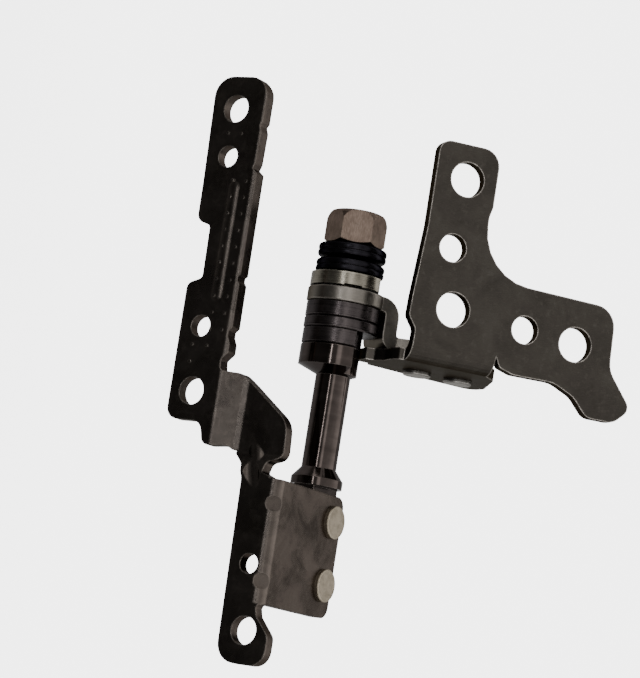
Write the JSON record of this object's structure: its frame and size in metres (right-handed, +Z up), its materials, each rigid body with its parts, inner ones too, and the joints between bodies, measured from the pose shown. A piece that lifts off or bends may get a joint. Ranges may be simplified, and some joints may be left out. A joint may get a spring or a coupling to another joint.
{
  "type": "laptop hinge",
  "caption": "Metal laptop hinge: folded base bracket and long stepped display arm joined by a friction shaft with cams, dished springs and a hexagon nut.",
  "frame": {"origin": "on the hinge shaft's axis, at the shoulder face of the stop collar that meets the stop washer", "axes": "+X along the shaft from the nut to the riveted tongue, +Y towards the base plate, +Z up, square to the base plate, with the case on its floor"},
  "size_m": [0.0577, 0.0447, 0.0152],
  "materials": {
    "base_plating": "dark nickel plated, satin",
    "arm_coating": "black, satin",
    "shaft_polish": "black nickel, polished",
    "rivet_arm": "champagne coloured, turned face",
    "rivet_base": "bright, upset",
    "cam_nickel": "warm nickel",
    "washer_black": "blackened",
    "spring_black": "blackened, oiled",
    "nut_bronze": "bronze tinted, turned"
  },
  "bodies": {
    "base": {"base_bracket": "base_plating", "ear_bracket": "base_plating", "base_rivet_1": "rivet_base", "base_rivet_2": "rivet_base", "friction_washer": "washer_black"},
    "arm": {"shaft": "shaft_polish", "display_arm": "arm_coating", "arm_rivet_1": "rivet_arm", "arm_rivet_2": "rivet_arm", "stop_washer": "washer_black", "thrust_washer": "washer_black", "cam_follower": "cam_nickel", "disc_spring_1": "spring_black", "disc_spring_2": "spring_black", "disc_spring_3": "spring_black", "disc_spring_4": "spring_black", "lock_nut": "nut_bronze"}
  },
  "joints": [
    {"name": "lid_hinge", "type": "hinge", "parent": "base", "child": "arm", "pos_m": [0, 0, 0], "axis": [1, 0, 0], "range_deg": [-50, 130]}
  ]
}
